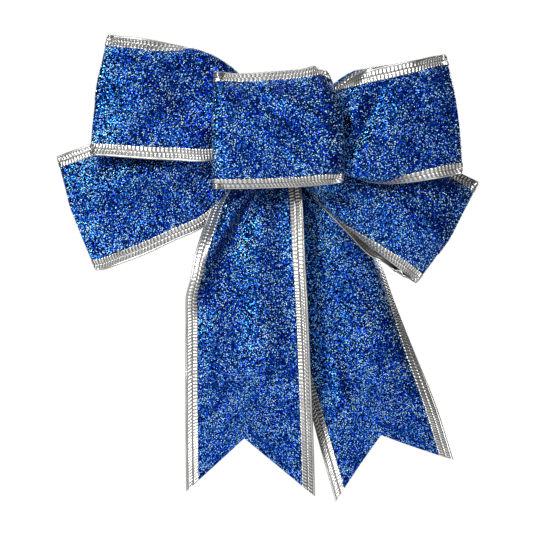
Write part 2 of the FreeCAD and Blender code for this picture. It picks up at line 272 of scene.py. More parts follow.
@dataclass
class Cloth:
    """A length of ribbon laid through its ribs, with its own coordinates: millimetres along and across."""

    ribs: list[Rib]
    drape: Drape
    outward: int
    length: float = field(init=False)
    places: np.ndarray = field(init=False)
    normals: np.ndarray = field(init=False)

    def __post_init__(self) -> None:
        """Lay the cloth."""
        rows = np.array([rib.row() for rib in self.ribs], float)
        middle = (rows[:, 0:3] + rows[:, 3:6]) / 2 + rows[:, 6:9]
        knots = np.concatenate([[0.0], np.cumsum(np.linalg.norm(np.diff(middle, axis=0), axis=1) ** 0.75)])
        dense = np.linspace(0, knots[-1], 1600)
        fine = through(knots, rows, dense)
        steps = sum(np.linalg.norm(np.diff(fine[:, a:b], axis=0), axis=1) for a, b in ((0, 3), (3, 6))) / 2
        travelled = np.concatenate([[0.0], np.cumsum(steps)])
        self.length = float(travelled[-1])
        count = int(self.length / CLOTH_STEP) + 1
        along = np.linspace(0, self.length, count)
        at = np.interp(along, travelled, dense)
        rows = through(knots, rows, at)
        self._lay(rows, along)

    def _lay(self, rows: np.ndarray, along: np.ndarray) -> None:
        """Fold each rib's cloth so that it spans its ends, and keep the places and normals.

        Args:
            rows: One row for each station along the ribbon.
            along: The stations, in millimetres.
        """
        second, chord = rows[:, 3:6], rows[:, 0:3] - rows[:, 3:6]
        span = np.linalg.norm(chord, axis=1)[:, None]
        reach = unit(chord)
        middle = second + chord / 2 + rows[:, 6:9]
        travel = unit(np.gradient(middle, axis=0))
        out = unit(np.cross(reach, travel)) * self.outward
        columns = int(RIBBON_WIDTH / CLOTH_STEP) + 1
        across = np.linspace(0, 1, columns)[None, :]
        shares = (along / along[-1])[:, None]
        gather = np.clip(rows[:, 11:12], 0, 1)
        calm = 1 - smoothstep(0.5, 0.93, np.abs(out[:, 1:2]))
        lean = self.drape.pattern(across, shares, gather) * (1 - calm) + (1 - 2 * across) * calm
        curl = np.radians(rows[:, 10:11]) * (1 - smoothstep(0.095, 0.24, across))
        curl = curl - np.radians(rows[:, 9:10]) * smoothstep(0.76, 0.905, across)
        low, high = np.zeros_like(span), np.full_like(span, 5.0)
        for _ in range(26):
            trial = (low + high) / 2
            line, _ = self._walk(self._limit(trial * lean) + curl)
            wide = (line.max(1) - line.min(1))[:, None] > span
            low, high = np.where(wide, trial, low), np.where(wide, high, trial)
        strength = self._soften((low + high) / 2)
        line, depth = self._walk(self._limit(strength * lean) + curl)
        lowest = line.min(1)[:, None]
        extent = line.max(1)[:, None] - lowest
        line = (line - lowest) * span / extent
        low, high = int(0.16 * columns), int(0.84 * columns)
        base, slope = depth[:, low][:, None], (depth[:, high] - depth[:, low])[:, None]
        depth = depth - base - slope * (across - across[0, low]) / (across[0, high] - across[0, low])
        depth = depth - depth.mean(1)[:, None] * gather
        dents = self.drape.dents(across * RIBBON_WIDTH, along[:, None])
        shelf = second[:, None] + reach[:, None] * line[..., None]
        low, high = self.drape.face
        facing = smoothstep(low - 0.03, low + 0.03, shares)
        facing = facing * (1 - smoothstep(high - 0.03, high + 0.03, shares))
        for fold in self.drape.folds:
            dents = dents + fold.rise(shelf[..., 0], shelf[..., 2]) * facing
        depth = depth * (1 - 0.93 * calm) + dents * np.sin(np.pi * across) ** 0.6 * (1 - calm)
        share = np.clip(line / span, 0, 1)[..., None]
        bow = rows[:, None, 6:9] * 4 * share * (1 - share)
        self.places = shelf + out[:, None] * depth[..., None] + bow
        down, over = np.gradient(self.places, axis=0), np.gradient(self.places, axis=1)
        self.normals = unit(np.cross(over, down)) * self.outward

    @staticmethod
    def _limit(lean: np.ndarray) -> np.ndarray:
        """Return a lean that never gets steeper than the cloth can stand."""
        return STEEPEST * np.tanh(lean / STEEPEST)

    @staticmethod
    def _walk(lean: np.ndarray) -> tuple[np.ndarray, np.ndarray]:
        """Walk across the cloth at its lean, and return how far along the rib and out each place is."""
        step = RIBBON_WIDTH / (lean.shape[1] - 1)
        halves = (lean[:, 1:] + lean[:, :-1]) / 2
        start = np.zeros((len(lean), 1))
        line = np.hstack([start, np.cumsum(np.cos(halves), axis=1) * step])
        depth = np.hstack([start, np.cumsum(np.sin(halves), axis=1) * step])
        return line, depth

    @staticmethod
    def _soften(values: np.ndarray) -> np.ndarray:
        """Return a column averaged over its neighbours, so that the folds don't start suddenly."""
        reach = 6
        padded = np.pad(values[:, 0], reach, mode="edge")
        kernel = np.hanning(2 * reach + 3)[1:-1]
        return np.convolve(padded, kernel / kernel.sum(), mode="valid")[:, None]

    def place(self, along: np.ndarray, across: np.ndarray, rise: np.ndarray) -> np.ndarray:
        """Find places in space from places on the cloth.

        Args:
            along: Millimetres along the ribbon.
            across: Millimetres across it.
            rise: Millimetres out from its middle surface.

        Returns:
            Points in metres.
        """
        rows, columns = self.places.shape[:2]
        u = np.clip(along / self.length * (rows - 1), 0, rows - 1.001)
        v = np.clip(across / RIBBON_WIDTH * (columns - 1), 0, columns - 1.001)
        i, j = u.astype(int), v.astype(int)
        fu, fv = (u - i)[..., None], (v - j)[..., None]

        def blend(grid: np.ndarray) -> np.ndarray:
            """Return the grid's values between its four nearest rows."""
            near = grid[i, j] * (1 - fv) + grid[i, j + 1] * fv
            far = grid[i + 1, j] * (1 - fv) + grid[i + 1, j + 1] * fv
            return near * (1 - fu) + far * fu

        return (blend(self.places) + unit(blend(self.normals)) * rise[..., None]) * MM


@dataclass(frozen=True)
class Notch:
    """The V cut into a tail's end: how far it stops short of the cloth's end, in millimetres."""

    depth: float = 0.0
    apex: float = 0.5
    first_short: float = 0.0
    second_short: float = 0.0
    run_in: float = 34.0

    def short(self, across: np.ndarray) -> np.ndarray:
        """Return how far short the cloth stops at each place across."""
        share = across / RIBBON_WIDTH
        return np.interp(share, [0.0, self.apex, 1.0], [self.second_short, self.depth, self.first_short])

    def along(self, wanted: np.ndarray, across: np.ndarray, length: float) -> np.ndarray:
        """Squeeze the last stretch of the ribbon so that it ends at the cut.

        Args:
            wanted: Millimetres along an uncut ribbon.
            across: Millimetres across.
            length: The uncut ribbon's length.

        Returns:
            Millimetres along, which end at the cut.
        """
        stretch = self.depth + self.run_in
        late = np.clip((wanted - (length - stretch)) / stretch, 0, 1)
        return wanted - late * self.short(across)


def new_mesh(name: str, points: np.ndarray, faces: np.ndarray,
             smooth: bool | np.ndarray = True) -> bpy.types.Object:
    """Make a mesh object from points and four-sided faces.

    Args:
        name: The piece's name.
        points: Rows of x, y, z in metres.
        faces: Rows of four point numbers.
        smooth: Whether the faces are shaded smooth, for all of them or for each one.

    Returns:
        The new object, linked to the scene.
    """
    mesh = bpy.data.meshes.new(name)
    mesh.vertices.add(len(points))
    mesh.vertices.foreach_set("co", points.reshape(-1).astype(np.float32))
    mesh.loops.add(faces.size)
    mesh.loops.foreach_set("vertex_index", faces.reshape(-1).astype(np.int32))
    mesh.polygons.add(len(faces))
    mesh.polygons.foreach_set("loop_start", np.arange(0, faces.size, 4, dtype=np.int32))
    mesh.update(calc_edges=True)
    mesh.validate()
    mesh.polygons.foreach_set("use_smooth", np.ones(len(mesh.polygons), dtype=bool) & smooth)
    piece = bpy.data.objects.new(name, mesh)
    bpy.context.scene.collection.objects.link(piece)
    return piece


def set_point_value(piece: bpy.types.Object, name: str, values: np.ndarray) -> None:
    """Keep a value on each point of a mesh for its material to read."""
    attribute = piece.data.attributes.new(name, "FLOAT", "POINT")
    attribute.data.foreach_set("value", values.reshape(-1).astype(np.float32))


def set_cloth_map(piece: bpy.types.Object, along: np.ndarray, across: np.ndarray) -> None:
    """Keep the cloth's own coordinates as the mesh's texture map, in centimetres.

    Args:
        piece: The piece.
        along: Millimetres along, one for each point.
        across: Millimetres across, one for each point.
    """
    layer = piece.data.uv_layers.new(name="cloth")
    corner = np.zeros(len(piece.data.loops), dtype=np.int32)
    piece.data.loops.foreach_get("vertex_index", corner)
    pair = np.stack([along.reshape(-1), across.reshape(-1)], axis=1) / 10
    layer.data.foreach_set("uv", pair[corner].reshape(-1).astype(np.float32))


def grid_faces(rows: int, columns: int, start: int = 0, flip: bool = False) -> np.ndarray:
    """Return the faces of an open grid of points.

    Args:
        rows: Points down.
        columns: Points across.
        start: The first point's number.
        flip: Whether the faces look the other way.

    Returns:
        Rows of four point numbers.
    """
    i, j = np.meshgrid(np.arange(rows - 1), np.arange(columns - 1), indexing="ij")
    corner = (start + i * columns + j).reshape(-1)
    faces = np.stack([corner, corner + 1, corner + columns + 1, corner + columns], axis=1)
    return faces[:, ::-1] if flip else faces


def tube_faces(rows: int, ring: int, flip: bool = False) -> np.ndarray:
    """Return the faces of a closed tube of rings, with its ends closed as fans of four-sided faces.

    Args:
        rows: Rings along the tube.
        ring: Points in each ring, an even number.
        flip: Whether the faces look the other way.

    Returns:
        Rows of four point numbers.
    """
    i, j = np.meshgrid(np.arange(rows - 1), np.arange(ring), indexing="ij")
    here, there = (i * ring + j).reshape(-1), (i * ring + (j + 1) % ring).reshape(-1)
    sides = np.stack([here, there, there + ring, here + ring], axis=1)
    half = np.arange(ring // 2 - 1)
    cap = np.stack([half, ring - 1 - half, ring - 2 - half, half + 1], axis=1)
    faces = np.vstack([sides, cap, cap[:, ::-1] + (rows - 1) * ring])
    return faces[:, ::-1] if flip else faces


# ----------------------------------------------------------------------------------------------------------
# Finishes


class Nodes:
    """A short way to build a node tree."""

    def __init__(self, tree: bpy.types.NodeTree) -> None:
        """Start with an empty tree."""
        self.tree = tree
        tree.nodes.clear()

    def add(self, kind: str, feeds: dict[str | int, object] | None = None,
            **properties: object) -> bpy.types.Node:
        """Add a node.

        Args:
            kind: The node's type, without "ShaderNode" before it unless it is a group's input or output.
            feeds: What goes into its inputs, by name or number: values, or other nodes' outputs.
            **properties: Its properties.

        Returns:
            The node.
        """
        node = self.tree.nodes.new(kind if kind.startswith("NodeGroup") else "ShaderNode" + kind)
        for name, value in properties.items():
            setattr(node, name, value)
        for name, value in (feeds or {}).items():
            if isinstance(value, bpy.types.NodeSocket):
                self.tree.links.new(value, node.inputs[name])
            else:
                node.inputs[name].default_value = value
        return node

    def math(self, operation: str, *inputs: object) -> bpy.types.NodeSocket:
        """Add a sum of numbers or outputs, and return its output."""
        return self.add("Math", dict(enumerate(inputs)), operation=operation).outputs[0]

    def mix(self, factor: bpy.types.NodeSocket, first: object, second: object) -> bpy.types.NodeSocket:
        """Add a mix of two colours, and return its colour."""
        return self.add("Mix", {0: factor, 6: first, 7: second}, data_type="RGBA").outputs[2]

    def bump(self, height: bpy.types.NodeSocket, strength: float, distance: float) -> bpy.types.NodeSocket:
        """Add a bump, and return its normal."""
        return self.add("Bump", {"Height": height, "Strength": strength, "Distance": distance}).outputs[0]

    def ramp(self, factor: bpy.types.NodeSocket, stops: list[tuple[float, tuple[float, ...]]],
             constant: bool = False) -> bpy.types.NodeSocket:
        """Add a colour ramp and return its colour.

        Args:
            factor: What drives it.
            stops: Places and colours.
            constant: Whether the colours change in steps.

        Returns:
            The colour socket.
        """
        node = self.add("ValToRGB", {0: factor})
        ramp = node.color_ramp
        ramp.interpolation = "CONSTANT" if constant else "LINEAR"
        while len(ramp.elements) < len(stops):
            ramp.elements.new(0.5)
        for element, (place, colour) in zip(ramp.elements, stops):
            element.position = place
            element.color = (*colour, 1.0)
        return node.outputs[0]

    def cloth_place(self) -> bpy.types.NodeSocket:
        """Return the cloth's own coordinates, in centimetres."""
        return self.add("UVMap", uv_map="cloth").outputs[0]

    def surface(self, feeds: dict[str, object]) -> None:
        """Add the surface shader and join it to the material's output."""
        shader = self.add("BsdfPrincipled", feeds)
        self.add("OutputMaterial", {0: shader.outputs[0]})


def start_material(name: str) -> tuple[bpy.types.Material, Nodes]:
    """Make an empty material, and return it with its nodes."""
    material = bpy.data.materials.new(name)
    material.use_nodes = True
    return material, Nodes(material.node_tree)


def start_group(name: str, numbers: dict[str, float], made: dict[str, str]) -> tuple[Nodes, object]:
    """Start a shared group that takes the cloth's coordinates.

    Args:
        name: The group's name.
        numbers: Its other inputs and their usual values.
        made: Its outputs and whether each is a Float or a Vector.

    Returns:
        The group's nodes, and the sockets of what it is given.
    """
    tree = bpy.data.node_groups.new(name, "ShaderNodeTree")
    tree.interface.new_socket("Place", in_out="INPUT", socket_type="NodeSocketVector")
    for label, value in numbers.items():
        socket = tree.interface.new_socket(label, in_out="INPUT", socket_type="NodeSocketFloat")
        socket.default_value = value
    for label, kind in made.items():
        tree.interface.new_socket(label, in_out="OUTPUT", socket_type="NodeSocket" + kind)
    nodes = Nodes(tree)
    return nodes, nodes.add("NodeGroupInput").outputs


def make_flake_group() -> bpy.types.NodeTree:
    """Build the shared group of tumbled flakes: one random number, one lean and one rim for each cell."""
    made = {"Chance": "Float", "Second Chance": "Float", "Rim": "Float", "Normal": "Vector"}
    nodes, given = start_group("tumbled_flakes", {"Per Centimetre": 13.0, "Lean": 0.5}, made)
    feeds = {"Vector": given["Place"], "Scale": given["Per Centimetre"], "Randomness": 0.95}
    cells = nodes.add("TexVoronoi", feeds, voronoi_dimensions="2D", feature="F1").outputs
    chances = nodes.add("SeparateColor", {0: cells["Color"]}).outputs
    rim = nodes.add("MapRange", {"Value": cells["Distance"], "From Min": 0.28, "From Max": 0.62})
    centred = nodes.add("VectorMath", {0: cells["Color"], 1: (0.5, 0.5, 0.5)}, operation="SUBTRACT")
    scaled = nodes.add("VectorMath", {0: centred.outputs[0], "Scale": given["Lean"]}, operation="SCALE")
    upright = nodes.add("NewGeometry").outputs["Normal"]
    leaning = nodes.add("VectorMath", {0: upright, 1: scaled.outputs[0]}, operation="ADD")
    normal = nodes.add("VectorMath", {0: leaning.outputs[0]}, operation="NORMALIZE")
    nodes.add("NodeGroupOutput", {"Chance": chances[0], "Second Chance": chances[1], "Rim": rim.outputs[0],
                                  "Normal": normal.outputs[0]})
    return nodes.tree


def make_weave_group() -> bpy.types.NodeTree:
    """Build the shared group of plain weave: a height from crossing threads."""
    nodes, given = start_group("plain_weave", {"Threads Per Centimetre": 22.0}, {"Height": "Float"})
    threads = []
    for axis in nodes.add("SeparateXYZ", {0: given["Place"]}).outputs[:2]:
        turn = nodes.math("MULTIPLY", axis, given["Threads Per Centimetre"])
        threads.append(nodes.math("SINE", nodes.math("MULTIPLY", turn, math.pi)))
    product = nodes.math("MULTIPLY", *threads)
    nodes.add("NodeGroupOutput", {"Height": nodes.math("MULTIPLY_ADD", product, 0.5, 0.5)})
    return nodes.tree


@dataclass(frozen=True)
class GlitterFinish:
    """Coarse mirror glitter on royal blue ribbon, whose palest flakes are painted glints."""

    name: str = "royal_blue_glitter"
    per_cm: float = 25.0
    lean: float = 1.25
    roughness: float = 0.22
    metallic: float = 0.97
    glint_flake_metallic: float = 0.2
    rim: float = 0.72

    def build(self, flakes: bpy.types.NodeTree) -> bpy.types.Material:
        """Make the material from the shared group of tumbled flakes."""
        material, nodes = start_material(self.name)
        place = nodes.cloth_place()
        feeds = {"Place": place, "Per Centimetre": self.per_cm, "Lean": self.lean}
        cells = nodes.add("Group", feeds, node_tree=flakes).outputs
        zones = nodes.add("TexNoise", {"Vector": place, "Scale": 0.75, "Detail": 2.0}, noise_dimensions="2D")
        drift = nodes.math("MULTIPLY_ADD", zones.outputs[0], 0.2, -0.1)
        chance = nodes.math("ADD", cells["Chance"], drift)
        # Random flake colours from near-black navy to blue; the top stops, pale cyan to near-white, are
        # painted glints.
        colour = nodes.ramp(chance, [
            (0.0, (0.0001, 0.0005, 0.02)),
            (0.32, (0.0003, 0.003, 0.08)),
            (0.54, (0.0012, 0.018, 0.24)),
            (0.72, (0.006, 0.1, 0.56)),
            (0.84, (0.03, 0.28, 0.86)),
            (0.91, (0.17, 0.6, 0.96)),
            (0.965, (0.66, 0.96, 1.0)),
        ])
        rare = nodes.ramp(cells["Second Chance"], [(0.0, (0, 0, 0)), (0.9965, (1, 1, 1))], constant=True)
        tinted = nodes.mix(rare, colour, (0.85, 0.4, 0.5, 1))
        rim = nodes.math("MULTIPLY", cells["Rim"], self.rim)
        # The pale flakes lose most of their metal, so their painted glint stays bright from any side.
        pale = nodes.add("MapRange", {"Value": chance, "From Min": 0.86, "From Max": 0.95,
                                      "To Min": self.metallic, "To Max": self.glint_flake_metallic})
        nodes.surface({
            "Base Color": nodes.mix(rim, tinted, (0.0008, 0.003, 0.05, 1)),
            "Metallic": pale.outputs[0],
            "Specular IOR Level": 0.1,
            "Roughness": nodes.math("MULTIPLY_ADD", cells["Second Chance"], 0.3, self.roughness - 0.12),
            "Normal": cells["Normal"],
        })
        return material


@dataclass(frozen=True)
class ReverseFinish:
    """The ribbon's dark navy reverse, a plain weave."""

    name: str = "navy_reverse"
    threads: float = 18.0
    roughness: float = 0.62

    def build(self, weave: bpy.types.NodeTree) -> bpy.types.Material:
        """Make the material from the shared group of plain weave."""
        material, nodes = start_material(self.name)
        feeds = {"Place": nodes.cloth_place(), "Threads Per Centimetre": self.threads}
        height = nodes.add("Group", feeds, node_tree=weave).outputs["Height"]
        nodes.surface({
            "Base Color": nodes.ramp(height, [(0.0, (0.0008, 0.0014, 0.01)), (1.0, (0.004, 0.01, 0.055))]),
            "Roughness": self.roughness,
            "Specular IOR Level": 0.22,
            "Normal": nodes.bump(height, 0.5, 0.0002),
        })
        return material


@dataclass(frozen=True)
class YarnFinish:
    """Silver metallic yarn wrapped in bars, with painted shade between them and a painted highlight on their
    crests.
    """

    name: str = "silver_yarn"
    roughness: float = 0.26
    metallic: float = 0.9
    threads: float = 12.0

    def build(self, weave: bpy.types.NodeTree) -> bpy.types.Material:
        """Make the material from the shared group of plain weave, stretched into fine strands."""
        material, nodes = start_material(self.name)
        painted_bar_shading = nodes.add("Attribute", attribute_name="painted_bar_shading").outputs["Fac"]
        tone_and_sheen = nodes.add("Attribute", attribute_name="tone_and_sheen").outputs["Fac"]
        strands = nodes.add("Mapping", {"Vector": nodes.cloth_place(), "Scale": (3.2, 0.5, 1.0)})
        feeds = {"Place": strands.outputs[0], "Threads Per Centimetre": self.threads}
        height = nodes.add("Group", feeds, node_tree=weave).outputs["Height"]
        # The ramp runs from painted shade in the gaps between bars to a painted highlight on the bar crests.
        colour = nodes.ramp(painted_bar_shading, [
            (0.0, (0.05, 0.0495, 0.049)),
            (0.3, (0.2, 0.198, 0.195)),
            (0.6, (0.33, 0.327, 0.322)),
            (1.0, (0.66, 0.653, 0.645)),
        ])
        nodes.surface({
            # Where the tone value is high the bars fade to an even grey; its slow zones along the edging are
            # painted sheen.
            "Base Color": nodes.mix(tone_and_sheen, colour, (0.2, 0.199, 0.195, 1)),
            "Metallic": self.metallic,
            "Roughness": nodes.math("MULTIPLY_ADD", painted_bar_shading, -0.2, self.roughness + 0.2),
            "Normal": nodes.bump(height, 0.25, 0.0001),
        })
        return material


@dataclass(frozen=True)
class PlainFinish:
    """A wire or plastic coat, with fine scratches and a little uneven colour."""

    name: str
    colour: tuple[float, float, float]
    shade: tuple[float, float, float]
    metallic: float
    roughness: float
    grain: float = 900.0

    def build(self) -> bpy.types.Material:
        """Make the material and return it."""
        material, nodes = start_material(self.name)
        feeds = {"Vector": nodes.add("TexCoord").outputs["Object"], "Scale": self.grain, "Detail": 3.0}
        noise = nodes.add("TexNoise", feeds).outputs[0]
        nodes.surface({
            "Base Color": nodes.ramp(noise, [(0.3, self.shade), (0.7, self.colour)]),
            "Metallic": self.metallic,
            "Roughness": nodes.math("MULTIPLY_ADD", noise, 0.2, self.roughness - 0.1),
        })
        return material



@dataclass
class Finishes:
    """All the bow's materials."""

    glitter: bpy.types.Material
    reverse: bpy.types.Material
    yarn: bpy.types.Material
    wire: bpy.types.Material
    coat: bpy.types.Material
    core: bpy.types.Material

    @classmethod
    def make(cls) -> "Finishes":
        """Build the shared groups and every material."""
        flakes, weave = make_flake_group(), make_weave_group()
        return cls(
            glitter=GlitterFinish().build(flakes),
            reverse=ReverseFinish().build(weave),
            yarn=YarnFinish().build(weave),
            wire=PlainFinish("soft_wire", (0.6, 0.6, 0.62), (0.35, 0.35, 0.37), 1.0, 0.35).build(),
            coat=PlainFinish("tie_coat", (0.02, 0.06, 0.34), (0.012, 0.035, 0.2), 0.0, 0.38).build(),
            core=PlainFinish("tie_core", (0.7, 0.7, 0.72), (0.5, 0.5, 0.52), 1.0, 0.3).build(),
        )


# ----------------------------------------------------------------------------------------------------------
# Ribbons


@dataclass
class RibbonLength:
    """One length of wired ribbon: its fabric, two edgings and two wires."""

    name: str
    body: str
    edges: tuple[str, str]
    ribs: list[Rib]
    drape: Drape
    outward: int
    held: str
    axis: tuple[float, float] | None = None
    notch: Notch = Notch()
    cloth: Cloth = field(init=False)
    draw: np.random.Generator = field(init=False)

    def build(self, finishes: Finishes) -> list[bpy.types.Object]:
        """Build the pieces, dress them and attach or bake each one.

        Args:
            finishes: The bow's materials.

        Returns:
            The pieces.
        """
        self.cloth = Cloth(self.ribs, self.drape, self.outward)
        self.draw = np.random.default_rng(self.drape.seed)
        fabric = self.fabric(finishes)
        trims = []
        for label, side in zip(self.edges, (Side.FIRST, Side.SECOND)):
            trims.append(self.edging(label, side, finishes))
            trims.append(self.wire(label, side, finishes))
        for piece in [fabric, *trims]:
            self.join(piece)
        return [fabric, *trims]

    def join(self, piece: bpy.types.Object) -> None:
        """Let a piece ride on its body when it has no axis; otherwise only bake its placement into its
        points.
        """
        if self.axis is None:
            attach(piece, self.body)
            return
        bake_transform(piece)

    def lay(self, along: np.ndarray, across: np.ndarray, rise: np.ndarray) -> np.ndarray:
        """Find points on the ribbon, which ends at its notch.

        Args:
            along: Millimetres along the uncut ribbon.
            across: Millimetres across it.
            rise: Millimetres out from its middle surface.

        Returns:
            Rows of x, y, z in metres.
        """
        along, across, rise = np.broadcast_arrays(along, across, rise)
        kept = self.notch.along(along, across, self.cloth.length)
        return self.cloth.place(kept, across, rise).reshape(-1, 3)

    @staticmethod
    def under_edging(across: np.ndarray) -> np.ndarray:
        """Return where the fabric lies under an edging."""
        return np.minimum(across, RIBBON_WIDTH - across) < EDGING_WIDTH - 0.1

    @staticmethod
    def from_edge(inset: np.ndarray, side: Side) -> np.ndarray:
        """Return places across the ribbon from places in from one of its edges."""
        return RIBBON_WIDTH - inset if side is Side.FIRST else inset

    def fabric(self, finishes: Finishes) -> bpy.types.Object:
        """Build the fabric: facets of glitter on its outer face, plain weave on its inner one.

        Args:
            finishes: The bow's materials.

        Returns:
            The fabric.
        """
        rows = int(self.cloth.length / FLAKE_STEP)
        columns = int((RIBBON_WIDTH - 2 * FABRIC_INSET) / FLAKE_STEP)
        width = np.linspace(FABRIC_INSET, RIBBON_WIDTH - FABRIC_INSET, columns)
        along, across = np.meshgrid(np.linspace(0, self.cloth.length, rows), width, indexing="ij")
        inner = np.zeros_like(along)
        inner[1:-1, 1:-1] = FLAKE_SHIFT * FLAKE_STEP
        front_along = along + inner * self.draw.uniform(-1, 1, along.shape)
        front_across = across + inner * self.draw.uniform(-1, 1, along.shape)
        rise = FABRIC_HALF + FLAKE_RISE * self.draw.uniform(0, 1, along.shape)
        rise = np.where(self.under_edging(front_across), FABRIC_THIN, rise)
        sink = np.where(self.under_edging(across), -FABRIC_THIN, -FABRIC_HALF)
        points = np.vstack([self.lay(front_along, front_across, rise), self.lay(along, across, sink)])
        count = rows * columns
        turned = self.outward < 0
        front = grid_faces(rows, columns, 0, flip=not turned)
        back = grid_faces(rows, columns, count, flip=turned)
        numbers = np.arange(count).reshape(rows, columns)
        border = np.concatenate([numbers[0, :], numbers[1:, -1], numbers[-1, -2::-1], numbers[-2:0:-1, 0]])
        following = np.roll(border, -1)
        rim = np.stack([following, border, border + count, following + count], axis=1)
        faces = np.vstack([front, back, rim[:, ::-1] if turned else rim])
        reverse = np.arange(len(faces)) >= len(front)
        piece = new_mesh(self.name + "_fabric", points, faces, smooth=reverse)
        piece.data.materials.append(finishes.glitter)
        piece.data.materials.append(finishes.reverse)
        piece.data.polygons.foreach_set("material_index", reverse.astype(np.int32))
        set_cloth_map(piece, np.vstack([front_along, along]), np.vstack([front_across, across]))
        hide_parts(self.name + "_ribbon")
        return piece

    def edging(self, label: str, side: Side, finishes: Finishes) -> bpy.types.Object:
        """Build one edging: a bead over the wire, and two lanes of wrapped bars on each face.

        Args:
            label: The edge's name.
            side: Which edge it is.
            finishes: The bow's materials.

        Returns:
            The edging.
        """
        profile = self.edging_profile()
        rows = int(self.cloth.length / BAR_PITCH * BAR_SAMPLES)
        along = np.linspace(0, self.cloth.length, rows)[:, None]
        inset, base, lane, face = (profile[:, k][None, :] for k in range(4))
        outer = lane == 1
        swell = self.draw.uniform(0.85, 1.15)
        waver = 0.22 * np.sin(along / 7.3 + swell) + 0.16 * np.sin(along / 2.9 + 2 * swell)
        slant = 0.32 * np.sin(along / 31.0 + 4 * swell)
        aside = inset - np.where(outer, *LANE_MIDDLES)
        drift = along + 1.6 * np.sin(along / 11.0 + 3 * swell)
        chevron = np.where(outer, 0.34, -0.3) * np.sin(along / 47.0 + 2 * swell) ** 2
        turn = (drift + waver * 0.4 + (slant + chevron) * aside) / BAR_PITCH + np.where(lane == 2, 0.5, 0.0)
        pulse = smoothstep(0.18, 0.62, 0.5 - 0.5 * np.cos(2 * np.pi * turn))
        crest = np.sqrt(np.clip(1 - (aside / (np.where(outer, *LANE_HALVES) * 1.06)) ** 2, 0, 1))
        dimple = 0.3 * np.exp(-((aside / 0.42) ** 2))
        bar = np.where(lane > 0, pulse * np.clip(crest * 1.35, 0, 1) * (1 - dimple), 0.0)
        crisp = 0.55 + 0.45 * (0.5 + 0.5 * np.sin(along / 16.0 + 7 * swell)) ** 0.7
        rise = face * (base + np.where(face > 0, 0.46 * crisp, 0.2) * bar)
        ragged = np.where(inset > 6.2, 0.35 * np.sin(along / 0.9 + swell) * pulse, 0.0)
        station, across = np.broadcast_arrays(along, self.from_edge(inset + ragged, side))
        flip = (side is Side.FIRST) == (self.outward > 0)
        piece = new_mesh(f"{self.name}_{label}_edging_yarn", self.lay(station, across, rise),
                         tube_faces(rows, profile.shape[0], flip))
        # Painted shading of the bars: dark in the gaps between bars and in the seam between the lanes,
        # lightest on the bar crests and the bead.
        wound = bar * crisp + (1 - crisp) * np.clip(crest * 1.2, 0, 0.85)
        painted_bar_shading = np.where(lane > 0, wound, np.where(inset < 1.0, 0.62, 0.05))
        number = np.floor(turn + 0.5).astype(int) + np.where(lane == 2, SECOND_LANE_SHADES, 0)
        # Each bar's own shade differs at random, as the yarn's tone does.
        shades = self.draw.uniform(0, 1, BAR_SHADES)
        # Slow zones along the edging are painted sheen of the metal yarn, mixed into each bar's random tone.
        zones = 0.5 + 0.5 * np.sin(along / 13.0 + 9 * swell) * np.sin(along / 5.7 + 5 * swell + inset / 3)
        bar_tone = 0.35 * shades[np.clip(number, 0, BAR_SHADES - 1)] + 0.45 * zones**2
        tone_and_sheen = np.where(lane > 0, bar_tone, 0.1 + 0.9 * zones) + np.where(outer, 0.12, 0.0)
        set_point_value(piece, "painted_bar_shading", painted_bar_shading)
        set_point_value(piece, "tone_and_sheen", tone_and_sheen)
        set_cloth_map(piece, station, across)
        piece.data.materials.append(finishes.yarn)
        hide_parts(f"{self.name}_{label}_edging")
        return piece

    @staticmethod
    def edging_profile() -> np.ndarray:
        """Return the edging's ring: each point's inset, rise, lane (0 for none) and face (+1 or -1)."""
        rim = [(EDGING_WIDTH, 0.05, 0)]
        bead = [(0.0, 0.02, 0), (0.08, 0.26, 0), (0.4, 0.42, 0), (0.8, 0.34, 0), (1.0, 0.12, 0)]
        outer = bead + [(x, 0.24, 1) for x in (1.22, 1.5, 1.85, 2.2, 2.55, 2.9, 3.18)]
        outer += [(3.4, 0.14, 0), (3.6, 0.14, 0)]
        outer += [(x, 0.24, 2) for x in (3.78, 4.15, 4.6, 5.0, 5.4, 5.85, 6.2)] + rim
        inner = rim + [(x, 0.24, 2) for x in (6.0, 5.4, 4.6, 3.9)] + [(3.5, 0.2, 0)]
        inner += [(x, 0.24, 1) for x in (3.0, 2.2, 1.4)] + bead[::-1]
        return np.array([(*point, 1) for point in outer] + [(*point, -1) for point in inner], float)

    def wire(self, label: str, side: Side, finishes: Finishes) -> bpy.types.Object:
        """Build the soft wire inside one edging's bead.

        Args:
            label: The edge's name.
            side: Which edge it is.
            finishes: The bow's materials.

        Returns:
            The wire.
        """
        rows = int(self.cloth.length / WIRE_STEP)
        along = np.linspace(0, self.cloth.length, rows)[:, None]
        turn = around(WIRE_RING)[None, :]
        across = self.from_edge(WIRE_INSET + WIRE_RADIUS * np.cos(turn), side)
        flip = (side is Side.FIRST) == (self.outward < 0)
        points = self.lay(along, across, WIRE_RADIUS * np.sin(turn))
        piece = new_mesh(f"{self.name}_{label}_soft_wire", points, tube_faces(rows, WIRE_RING, flip))
        piece.data.materials.append(finishes.wire)
        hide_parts(f"{self.name}_{label}_wire")
        return piece


def fan_axis(angle: float) -> tuple[float, float]:
    """Return a direction in the front plane, from an angle in degrees up from +X."""
    return math.cos(math.radians(angle)), math.sin(math.radians(angle))


